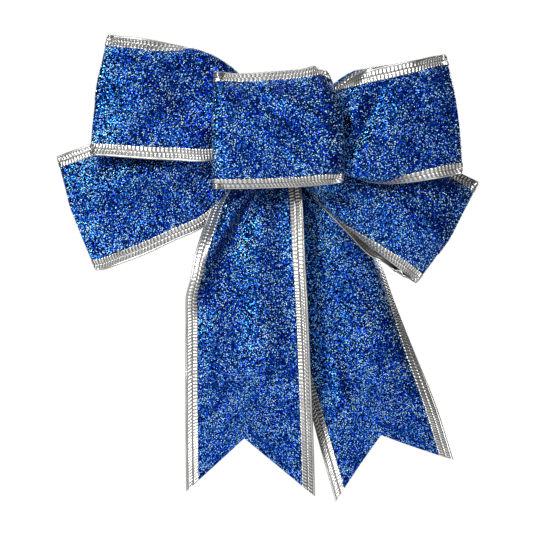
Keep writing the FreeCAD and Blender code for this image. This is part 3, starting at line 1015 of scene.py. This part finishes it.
@dataclass(frozen=True)
class PlyDepths:
    """Where the plies lie in depth, in millimetres, read from the frame."""

    centre_front: float
    upper_front: float
    upper_back: float
    lower_front: float
    lower_back: float

    @classmethod
    def read(cls) -> "PlyDepths":
        """Read the depths from the frame's boxes."""
        fronts, backs = {}, {}
        for loop in ("centre", "upper_left", "upper_right", "lower_left", "lower_right"):
            low, high = box_corners(f"{loop}_loop_ribbon")
            fronts[loop], backs[loop] = low[1], high[1]
        return cls(
            centre_front=fronts["centre"],
            upper_front=min(fronts["upper_left"], fronts["upper_right"]),
            upper_back=fronts["upper_left"] + 15.6,
            lower_front=min(fronts["lower_left"], fronts["lower_right"]),
            lower_back=max(backs["lower_left"], backs["lower_right"]),
        )


def centre_loop(depths: PlyDepths) -> RibbonLength:
    """Lay the small loop in front: out on its left side, over its face and back on its right."""
    face = depths.centre_front
    ribs = [
        Rib((-2, -18.6, 8.6), (-2, -18.6, -8.6), gather=1.0),
        Rib((-10, -19.4, 11.5), (-10, -19.4, -12), gather=0.9),
        Rib((-20, -26, 19), (-20, -26, -21), gather=0.35),
        Rib((-27.5, -33, 24.5), (-28, -33, -27)),
        Rib((-31.6, -39.5, 27), (-32.6, -39.5, -29.6)),
        Rib((-32.4, -45.5, 27.6), (-33, -45.5, -30.2)),
        Rib((-30.4, face + 0.9, 27.7), (-31, face + 0.9, -30.3)),
        Rib((-19, face, 27.1), (-14, face, -30.1)),
        Rib((-4, face - 0.3, 28.0), (0, face - 0.3, -29.7)),
        Rib((10, face, 29.1), (14, face, -29.0)),
        Rib((20.2, face + 1.6, 30.9), (26.5, face + 1.2, -27.8), bow=(2.0, 0, 0)),
        Rib((24.0, -45, 28.3), (31.4, -45.2, -27.0), bow=(3.4, 0, 0)),
        Rib((25.6, -39.5, 24.5), (31.6, -39.5, -26.4), bow=(2.4, 0, 0)),
        Rib((24, -33, 21), (27, -32.5, -24), gather=0.1),
        Rib((18, -26, 17), (19, -26, -19), gather=0.4),
        Rib((10, -19.4, 11.5), (10, -19.4, -12), gather=0.9),
        Rib((2, -18.6, 8.6), (2, -18.6, -8.6), gather=1.0),
    ]
    folds = (
        Fold((-9, 22), (20, 3), 1.7, 2.4),
        Fold((20, 3), (30, -10), 1.2, 2.4),
        Fold((-12, 14), (12, -2), -1.0, 3.4),
        Fold((5, -11), (16, -21), 1.5, 2.0),
        Fold((1, -13), (9, -22), -1.3, 2.4),
        Fold((-27, -10), (-18, -24), 1.0, 5.0),
    )
    drape = Drape(crown=1.0, waves=((1.5, 0.1, 0.25),), folds=folds, face=(0.36, 0.66), dent=0.35, seed=11)
    return RibbonLength("centre_loop", WAIST, LOOP_EDGES, ribs, drape, -1, "gathered")


def upper_left_loop(depths: PlyDepths) -> RibbonLength:
    """Lay the upper left loop: out along its front ply, round the fold and back along its rear ply."""
    front, back = depths.upper_front, depths.upper_back
    middle = (front + back) / 2
    ribs = [
        Rib((-3, -16.6, 8.5), (-3, -16.6, -8.5), gather=1.0, curl_first=60),
        Rib((-11.5, -19.5, 19), (-14.5, -19.5, -12), gather=0.8, curl_first=100),
        Rib((-20.5, -26.5, 28), (-26, -29.3, -14.4), gather=0.3, curl_first=112),
        Rib((-31.5, -32.6, 36.2), (-38, -34.4, -16.3), gather=0.05, curl_first=110),
        Rib((-45, front + 0.4, 41.0), (-53, front + 0.4, -15.7), curl_first=84),
        Rib((-56.5, front + 0.2, 43.6), (-66, front + 0.2, -15), curl_first=26),
        Rib((-70, front + 0.6, 46.0), (-79, front + 0.6, -14.1), bow=(-0.4, 0, 0), curl_first=0),
        Rib((-81, front + 3.0, 47.2), (-88.6, front + 3.0, -13.3), bow=(-0.8, 0, 0)),
        Rib((-85.4, middle - 2.4, 47.7), (-94.2, middle - 2.4, -13.0), bow=(-1.1, 0, 0)),
        Rib((-85.4, middle + 2.6, 47.4), (-94.2, middle + 2.6, -12.8), bow=(-1.0, 0, 0)),
        Rib((-79.6, back - 2.4, 46.4), (-87.6, back - 2.4, -12.6), bow=(-0.6, 0, 0)),
        Rib((-66, back - 0.8, 43.8), (-73, back - 0.8, -12.8)),
        Rib((-48, back, 40), (-54, back, -13.6)),
        Rib((-31, -17.6, 32), (-37, -17.6, -14), gather=0.2),
        Rib((-17, -14.6, 19.5), (-20, -14.6, -12.5), gather=0.6),
        Rib((-3, -12.8, 8.5), (-3, -12.8, -8.5), gather=1.0),
    ]
    folds = (
        Fold((-84, -4), (-50, 21), 1.6, 7.0),
        Fold((-62, 24), (-40, 6), -1.4, 6.0),
        Fold((-56, 2), (-34, -8), 1.3, 5.0),
    )
    drape = Drape(crown=0.55, waves=((1.5, 0.35, 0.5), (2.5, 0.1, 0.25)), folds=folds, dent=0.4, seed=21)
    return RibbonLength("upper_left_loop", "upper_left_loop", LOOP_EDGES, ribs, drape, 1, "gathered",
                        axis=fan_axis(171.6))


def upper_right_loop(depths: PlyDepths) -> RibbonLength:
    """Lay the upper right loop, whose lower edging rolls under near the waist."""
    front, back = depths.upper_front, depths.upper_back
    middle = (front + back) / 2
    ribs = [
        Rib((3, -16.6, 8.5), (3, -16.6, -8.5), gather=1.0, curl_second=60),
        Rib((14, -20.5, 15.4), (12.5, -20.5, -14), gather=0.75, curl_second=86),
        Rib((27.5, -28.0, 22.4), (25, -27.5, -19.6), gather=0.25, curl_second=90),
        Rib((41, -33.6, 28.4), (40, -33.4, -25), gather=0.05, curl_second=90),
        Rib((55, front + 0.4, 32.0), (53, front + 0.4, -27), curl_second=84),
        Rib((67, front + 0.3, 34.4), (66, front + 0.3, -26.5), curl_second=46),
        Rib((75, front + 1.0, 36.2), (79, front + 1.0, -24.8), bow=(0.6, 0, 0), curl_second=2),
        Rib((80.8, front + 3.2, 37.4), (87, front + 3.2, -23.2), bow=(1.1, 0, 0)),
        Rib((83.4, middle - 2.4, 37.8), (91.6, middle - 2.4, -22.2), bow=(1.5, 0, 0)),
        Rib((83.4, middle + 2.6, 37.8), (91.6, middle + 2.6, -22.0), bow=(1.4, 0, 0)),
        Rib((78, back - 2.4, 36.9), (86.4, back - 2.4, -21.6), bow=(0.8, 0, 0)),
        Rib((66, back - 0.8, 34.0), (73, back - 0.8, -21.6)),
        Rib((50, back, 31.6), (54, back, -22), curl_first=70),
        Rib((36.5, -18, 29.4), (37, -18, -19.5), gather=0.15, curl_first=90),
        Rib((20, -14.8, 18.5), (20, -14.8, -14), gather=0.55, curl_first=80),
        Rib((3, -12.8, 8.5), (3, -12.8, -8.5), gather=1.0),
    ]
    folds = (
        Fold((51, 18), (37, -10), -2.4, 3.0),
        Fold((42, 17), (38, 2), 1.6, 2.8),
        Fold((66, 18), (56, -6), 1.4, 6.0),
    )
    drape = Drape(crown=0.6, waves=((1.5, 0.05, 0.45), (2.5, 0.4, 0.25)), folds=folds, dent=0.4, seed=31)
    return RibbonLength("upper_right_loop", "upper_right_loop", LOOP_EDGES, ribs, drape, -1, "gathered",
                        axis=fan_axis(8.2))


def lower_left_loop(depths: PlyDepths) -> RibbonLength:
    """Lay the lower left loop, which slants down behind the upper one and the left tail."""
    front, back = depths.lower_front, depths.lower_back
    middle = (front + back) / 2
    ribs = [
        Rib((-3, -8.8, 8), (-3, -8.8, -8.5), gather=1.0),
        Rib((-16, -10.6, 11.4), (-11.5, -10.6, -19), gather=0.7),
        Rib((-31, -12.8, 12), (-23.5, -12.8, -34.6), gather=0.2),
        Rib((-50, front + 0.4, 8.2), (-38, front + 0.4, -48.6)),
        Rib((-70, front + 0.1, 1.8), (-53.6, front + 0.1, -56.0)),
        Rib((-88, front + 0.3, -3.8), (-69, front + 0.3, -63.2), bow=(-0.4, 0, -0.1)),
        Rib((-101, front + 1.2, -8.5), (-81.8, front + 1.2, -68.0), bow=(-0.8, 0, -0.3)),
        Rib((-108.6, front + 3.4, -11.1), (-88.8, front + 3.4, -70.4), bow=(-1.1, 0, -0.4)),
        Rib((-112.2, middle - 2.4, -12.4), (-92.4, middle - 2.4, -70.8), bow=(-1.2, 0, -0.5)),
        Rib((-112.2, middle + 2.6, -12.4), (-92.2, middle + 2.6, -70.6), bow=(-1.2, 0, -0.5)),
        Rib((-105, back - 2.4, -11.0), (-85, back - 2.4, -68.0), bow=(-1.2, 0, -0.5)),
        Rib((-90, back - 0.8, -6.6), (-70, back - 0.8, -61.8)),
        Rib((-68, back, 1.6), (-51, back, -53.4)),
        Rib((-45, -1.8, 9), (-32, -1.8, -42), gather=0.1),
        Rib((-22, -3.4, 12), (-14, -3.4, -24), gather=0.5),
        Rib((-3, -4.8, 8), (-3, -4.8, -8.5), gather=1.0),
    ]
    folds = (
        Fold((-90, -26), (-46, -24), 1.4, 6.0),
        Fold((-80, -50), (-48, -38), -1.2, 5.0),
        Fold((-44, -22), (-34, -40), -1.2, 3.0),
    )
    drape = Drape(crown=0.6, waves=((1.5, 0.3, 0.45), (2.5, 0.75, 0.2)), folds=folds, dent=0.4, seed=41)
    return RibbonLength("lower_left_loop", "lower_left_loop", LOOP_EDGES, ribs, drape, 1, "gathered",
                        axis=fan_axis(201.6))


def lower_right_loop(depths: PlyDepths) -> RibbonLength:
    """Lay the lower right loop, whose rear ply hangs a little lower than its front one."""
    front, back = depths.lower_front, depths.lower_back
    middle = (front + back) / 2
    ribs = [
        Rib((3, -8.8, 8), (3.5, -8.8, -9), gather=1.0, curl_second=50),
        Rib((16, -10.4, 9.6), (10, -10.4, -24.4), gather=0.6, curl_second=84),
        Rib((31, -12.6, 8), (18.5, -12.6, -34), gather=0.15, curl_second=82),
        Rib((48, front + 0.5, 2.2), (30, front + 0.5, -45), curl_second=66),
        Rib((64, front + 0.1, -5.6), (42, front + 0.1, -55), curl_second=40),
        Rib((80, front + 0.3, -14.6), (55.6, front + 0.3, -65.6), bow=(0.6, 0, -0.4), curl_second=12),
        Rib((91.6, front + 1.6, -20.8), (63.6, front + 1.6, -71.8), bow=(1.2, 0, -0.7)),
        Rib((98.2, front + 3.8, -24.0), (67.6, front + 3.8, -75.2), bow=(1.6, 0, -0.9)),
        Rib((101.2, middle - 2.4, -25.4), (69.6, middle - 2.4, -76.9), bow=(1.3, 0, -0.7)),
        Rib((101.0, middle + 2.6, -25.5), (69.3, middle + 2.6, -77.0), bow=(1.2, 0, -0.7), curl_second=30),
        Rib((94.4, back - 2.2, -24.0), (65.2, back - 2.2, -74.4), bow=(0.8, 0, -0.5), curl_second=88),
        Rib((86.5, back - 0.8, -19.6), (59.6, back - 0.8, -71.0), curl_second=88),
        Rib((80.4, back - 0.4, -16), (54, back - 0.4, -67.0), curl_second=10),
        Rib((66, back, -7.6), (45.4, back, -62.6)),
        Rib((46, -4.2, 2.6), (30.6, -5.0, -47.6), gather=0.4),
        Rib((24, -5.2, 9.5), (16, -5.8, -30.6), gather=0.8),
        Rib((3, -4.8, 8), (3.5, -4.8, -9), gather=1.0),
    ]
    folds = (
        Fold((22, -30), (50, -40), -2.0, 2.8),
        Fold((20, -35), (44, -45), 1.4, 2.4),
        Fold((58, -30), (84, -38), 1.4, 5.0),
    )
    drape = Drape(crown=0.7, waves=((2.5, 0.2, 0.25),), folds=folds, dent=0.35, seed=51)
    return RibbonLength("lower_right_loop", "lower_right_loop", LOOP_EDGES, ribs, drape, -1, "gathered",
                        axis=fan_axis(-30.6))


def left_tail() -> RibbonLength:
    """Lay the front tail, with a deep fold that opens out on its way down."""
    ribs = [
        Rib((-5.5, -11, -2), (5.5, -11, -2), gather=1.0),
        Rib((-12, -12.4, -12), (8, -12.4, -12), gather=0.75),
        Rib((-23.0, -15.2, -21.5), (9.6, -14.8, -22), gather=0.45),
        Rib((-31.2, -20.4, -32), (11, -16.9, -32), gather=0.15),
        Rib((-37.2, -23.6, -47.5), (12.1, -18.8, -48)),
        Rib((-42.2, -23.8, -62.5), (13.1, -20.4, -64)),
        Rib((-44.7, -22.6, -75), (13.9, -21.0, -76)),
        Rib((-46.7, -21.3, -83), (14.5, -21.4, -84)),
        Rib((-47.1, -21.6, -98), (15.2, -21.6, -99)),
        Rib((-47.2, -20.4, -125), (16.3, -20.4, -126)),
        Rib((-47.2, -17.5, -155), (17.5, -17.5, -155)),
        Rib((-47.0, -14.4, -184.8), (18.4, -14.4, -185.0)),
    ]
    crease = Crease(0.27, 1.75, 0.13, 2.4)
    drape = Drape(crown=0.3, waves=((2.5, 0.3, 0.35),), creases=(crease,), hem=0.14, dent=0.25, seed=61)
    notch = Notch(depth=29.4, apex=0.541, first_short=2.0, second_short=-0.4)
    return RibbonLength("left_tail", "left_tail", TAIL_EDGES, ribs, drape, 1, "hung", axis=fan_axis(-90),
                        notch=notch)


def right_tail() -> RibbonLength:
    """Lay the rear tail, which slants out to the right behind the lower loop."""
    ribs = [
        Rib((-5.5, -3, -2), (5.5, -3, -2), gather=1.0),
        Rib((-9, -1.6, -13.5), (13.5, -1.6, -12.5), gather=0.7),
        Rib((-8, 2.6, -30), (25, 2.8, -26), gather=0.3),
        Rib((-4.6, 4.4, -50), (39.2, 5.0, -44.6), curl_second=14),
        Rib((-0.6, 4.6, -72), (51.6, 5.0, -65.6), curl_second=30),
        Rib((5, 4.0, -98), (60.0, 4.2, -87.6), curl_second=26),
        Rib((11.6, 2.4, -124), (69.2, 2.0, -111), curl_second=20, curl_first=20),
        Rib((19.4, -0.2, -155), (80.5, -0.8, -139.6), curl_second=16, curl_first=10),
        Rib((29.4, -2.8, -190.0), (90.0, -2.8, -169.8), curl_second=4),
    ]
    folds = (
        Fold((14, -30), (22, -56), 1.6, 2.4),
        Fold((27, -112), (34, -140), 2.0, 3.0),
        Fold((34, -50), (52, -104), -1.4, 5.0),
    )
    drape = Drape(crown=0.4, waves=((1.5, 0.8, 0.2),), folds=folds, face=(-0.2, 1.2), dent=0.35, seed=71)
    notch = Notch(depth=26.0, apex=0.5, first_short=1.0, second_short=2.6)
    return RibbonLength("right_tail", "right_tail", TAIL_EDGES, ribs, drape, 1, "hung", axis=fan_axis(-75.8),
                        notch=notch)


# ----------------------------------------------------------------------------------------------------------
# Waist and tie


@dataclass
class GatheredWaist:
    """The gathered middle of one ribbon, drawn in by the tie."""

    node: str
    name: str
    upright: bool
    pleats: int = 9
    pleat_depth: float = 0.55
    squareness: float = 0.55
    rows: int = 41
    ring: int = 96

    def build(self, finishes: Finishes) -> bpy.types.Object:
        """Build the gathers, dress them and join them to the waist.

        Args:
            finishes: The bow's materials.

        Returns:
            The piece.
        """
        low, high = box_corners(self.node)
        middle, half = (low + high) / 2, (high - low) / 2
        run = np.linspace(-1, 1, self.rows)[:, None] * half[0]
        turn = around(self.ring)[None, :]
        pinch = 0.84 + 0.16 * smoothstep(0.5, 7.0, np.abs(run))
        wide = np.sign(np.cos(turn)) * np.abs(np.cos(turn)) ** self.squareness * half[2] * pinch
        deep = np.sign(np.sin(turn)) * np.abs(np.sin(turn)) ** self.squareness * half[1]
        ripple = 0.5 + 0.5 * np.cos(np.pi * self.pleats * wide / half[2] + 0.25 * np.sin(run / 2.5))
        deep = deep - np.sign(deep) * self.pleat_depth * ripple * smoothstep(0, 0.4, np.abs(np.sin(turn)))
        run = run + 0 * wide
        axes = (wide, run) if self.upright else (run, wide)
        points = np.stack([axes[0] + middle[0], deep + middle[1], axes[1] + middle[2]], axis=-1) * MM
        faces = tube_faces(self.rows, self.ring, flip=self.upright)
        piece = new_mesh(self.name, points.reshape(-1, 3), faces)
        set_cloth_map(piece, run, np.cumsum(np.full_like(wide, RIBBON_WIDTH * 2 / self.ring), axis=1))
        piece.data.materials.append(finishes.reverse)
        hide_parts(self.node)
        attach(piece, WAIST)
        return piece


def strand(name: str, route: np.ndarray, radius: float, ring: int = 12) -> bpy.types.Object:
    """Build a round wire along a route.

    Args:
        name: The piece's name.
        route: Rows of x, y, z in millimetres.
        radius: The wire's radius in millimetres.
        ring: Points round the wire.

    Returns:
        The wire.
    """
    travel = unit(np.gradient(route, axis=0))
    side = unit(np.cross(travel, np.array([0.31, 0.2, 0.93])))
    other = np.cross(travel, side)
    turn = around(ring)[None, :, None]
    spokes = side[:, None] * np.cos(turn) + other[:, None] * np.sin(turn)
    taper = np.ones((len(route), 1, 1))
    taper[[0, -1]] = 0.8
    points = (route[:, None] + spokes * radius * taper) * MM
    return new_mesh(name, points.reshape(-1, 3), tube_faces(len(route), ring))


@dataclass
class Tie:
    """The coated wire tie: its twisted stem and two bendable legs."""

    coat_radius: float = 0.6
    core_radius: float = 0.26
    twist_radius: float = 0.64
    twist_turns: float = 2.25

    def build(self, finishes: Finishes) -> list[bpy.types.Object]:
        """Build the stem and legs, dress the tie's turns, attach the stem to the waist and bake the legs in
        place.

        Args:
            finishes: The bow's materials.

        Returns:
            The pieces.
        """
        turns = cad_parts["waist_tie"]
        turns.data.materials.clear()
        turns.data.materials.append(finishes.coat)
        pieces = [self.twist(finishes)]
        for side, sign in (("left", -1), ("right", 1)):
            pieces += self.leg(side, sign, finishes)
        return pieces

    def twist(self, finishes: Finishes) -> bpy.types.Object:
        """Build the twisted stem from two strands in one mesh.

        Args:
            finishes: The bow's materials.

        Returns:
            The stem.
        """
        low, high = box_corners("tie_twist")
        share = np.linspace(0, 1, 70)
        turn = 2 * np.pi * self.twist_turns * share
        strands = []
        for phase in (0.0, math.pi):
            apart = self.twist_radius * np.cos(turn + phase), self.twist_radius * np.sin(turn + phase)
            route = np.stack([apart[0], low[1] + (high[1] - low[1]) * share, apart[1]], axis=1)
            strands.append(strand("tie_stem_strand", route, self.coat_radius))
        with bpy.context.temp_override(active_object=strands[0], selected_editable_objects=strands):
            bpy.ops.object.join()
        stem = strands[0]
        stem.name = "tie_twisted_stem"
        stem.data.materials.append(finishes.coat)
        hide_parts("tie_twist")
        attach(stem, WAIST)
        return stem

    def leg(self, side: str, sign: int, finishes: Finishes) -> list[bpy.types.Object]:
        """Build one leg, gently crooked as handled wire is, with its core showing at the cut end.

        Args:
            side: The leg's name.
            sign: -1 for the left leg and 1 for the right one.
            finishes: The bow's materials.

        Returns:
            The coat and the core.
        """
        low, high = box_corners(f"{side}_tie_leg")
        start, height = (low[1] + high[1]) / 2, (low[2] + high[2]) / 2
        reach = max(abs(low[0]), abs(high[0]))
        knots = np.array([0.0, 1.0, 2.2, 5.0, 16.0, 31.0, 45.0, reach])
        rows = np.array([
            [0.55, start - 1.6, height * 0.35],
            [0.9, start - 0.5, height * 0.7],
            [2.2, start, height],
            [5.0, start + 0.1, height],
            [16.0, start + 0.35, height + 0.5],
            [31.0, start - 0.2, height - 0.4],
            [45.0, start + 0.3, height + 0.2],
            [reach, start, height],
        ]) * (sign, 1, 1)
        route = through(knots, rows, np.linspace(0, reach, 120))
        coat = strand(f"{side}_tie_leg_coat", route, self.coat_radius)
        coat.data.materials.append(finishes.coat)
        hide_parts(f"{side}_tie_leg")
        inner = route[4:].copy()
        inner[-1] += np.array([sign * 0.4, 0, 0])
        core = strand(f"{side}_tie_leg_steel", inner, self.core_radius, ring=8)
        core.data.materials.append(finishes.core)
        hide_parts(f"{side}_tie_leg_core")
        for piece in (coat, core):
            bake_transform(piece)
        return [coat, core]


# ----------------------------------------------------------------------------------------------------------
# Studio


@dataclass(frozen=True)
class Lamp:
    """One soft white light: where it stands and its size in metres, and its power in watts."""

    name: str
    place: tuple[float, float, float]
    size: float
    power: float


@dataclass
class Studio:
    """The camera, the pale floor and the soft lights."""

    centre: tuple[float, float] = (-6.25, -68.75)
    view_width: float = 266.5
    view_depth: float = -35.0
    distance: float = 1.5
    sensor: float = 36.0
    floor_height: float = -0.262
    floor_half: float = 0.62
    surround: float = 0.15
    lamps: tuple[Lamp, ...] = (
        Lamp("key", (-0.44, -1.24, 0.36), 0.24, 36.0),
        Lamp("above", (-0.1, -0.95, 0.85), 0.3, 4.0),
        Lamp("top", (0.1, 0.25, 1.1), 0.9, 6.0),
        Lamp("rear", (0.4, 1.2, 0.3), 0.9, 12.0),
    )

    def build(self) -> None:
        """Make the studio."""
        self.camera()
        self.floor()
        self.surroundings()
        for lamp in self.lamps:
            self.light(lamp)
        bpy.context.scene.view_settings.view_transform = "Standard"

    def camera(self) -> None:
        """Stand the camera square to the bow's front, far enough back to see it flat."""
        data = bpy.data.cameras.new("camera")
        data.sensor_width = self.sensor
        reach = self.distance + self.view_depth * MM
        data.lens = self.sensor * reach / (self.view_width * MM)
        data.clip_end = 20
        camera = bpy.data.objects.new("camera", data)
        camera.location = (self.centre[0] * MM, -self.distance, self.centre[1] * MM)
        camera.rotation_euler = (math.pi / 2, 0, 0)
        bpy.context.scene.collection.objects.link(camera)
        bpy.context.scene.camera = camera

    def floor(self) -> None:
        """Lay a plain pale floor below the hanging bow."""
        corners = np.array([[-1, -1], [1, -1], [1, 1], [-1, 1]]) * self.floor_half
        points = np.hstack([corners, np.full((4, 1), self.floor_height)])
        floor = new_mesh("floor", points, np.array([[0, 1, 2, 3]]), smooth=False)
        material, nodes = start_material("pale_floor")
        nodes.surface({"Base Color": (0.93, 0.93, 0.93, 1), "Roughness": 0.9})
        floor.data.materials.append(material)

    def surroundings(self) -> None:
        """Make the studio's walls: white to the eye, and a soft even light on the bow."""
        world = bpy.data.worlds.new("studio")
        world.use_nodes = True
        bpy.context.scene.world = world
        nodes = Nodes(world.node_tree)
        seen = nodes.add("Background", {"Color": (1, 1, 1, 1), "Strength": 1.0}).outputs[0]
        cast = nodes.add("Background", {"Color": (0.97, 0.985, 1, 1), "Strength": self.surround}).outputs[0]
        to_camera = nodes.add("LightPath").outputs["Is Camera Ray"]
        picked = nodes.add("MixShader", {0: to_camera, 1: cast, 2: seen}).outputs[0]
        nodes.add("OutputWorld", {0: picked})

    def light(self, lamp: Lamp) -> None:
        """Stand one soft light, turned towards the bow's middle."""
        data = bpy.data.lights.new(lamp.name, "AREA")
        data.size = lamp.size
        data.energy = lamp.power
        light = bpy.data.objects.new(lamp.name, data)
        place = np.array(lamp.place)
        aim = np.array([self.centre[0] * MM, 0, self.centre[1] * MM]) - place
        light.location = lamp.place
        yaw = math.atan2(aim[0], -aim[1])
        tilt = math.atan2(math.hypot(aim[0], aim[1]), -aim[2])
        light.rotation_euler = (tilt, 0, yaw + math.pi)
        bpy.context.scene.collection.objects.link(light)


def main() -> None:
    """Build the studio and the bow, and report each piece."""
    logging.basicConfig(level=logging.INFO, format="%(name)s: %(message)s")
    Studio().build()
    finishes = Finishes.make()
    depths = PlyDepths.read()
    waists = [
        GatheredWaist("upper_loops_waist", "upper_loops_gather", upright=False),
        GatheredWaist("left_tail_waist", "left_tail_gather", upright=True),
        GatheredWaist("lower_loops_waist", "lower_loops_gather", upright=False),
        GatheredWaist("right_tail_waist", "right_tail_gather", upright=True),
    ]
    for waist in waists:
        LOG.info("%s: gathered ribbon", waist.build(finishes).name)
    ribbons = [
        right_tail(),
        lower_left_loop(depths),
        lower_right_loop(depths),
        left_tail(),
        upper_left_loop(depths),
        upper_right_loop(depths),
        centre_loop(depths),
    ]
    for ribbon in ribbons:
        for piece in ribbon.build(finishes):
            LOG.info("%s: %d faces", piece.name, len(piece.data.polygons))
        LOG.info("%s: %.0f mm of ribbon", ribbon.name, ribbon.cloth.length)
    for piece in Tie().build(finishes):
        LOG.info("%s: %d faces", piece.name, len(piece.data.polygons))
    bpy.context.view_layer.update()


if __name__ == "__main__":
    main()
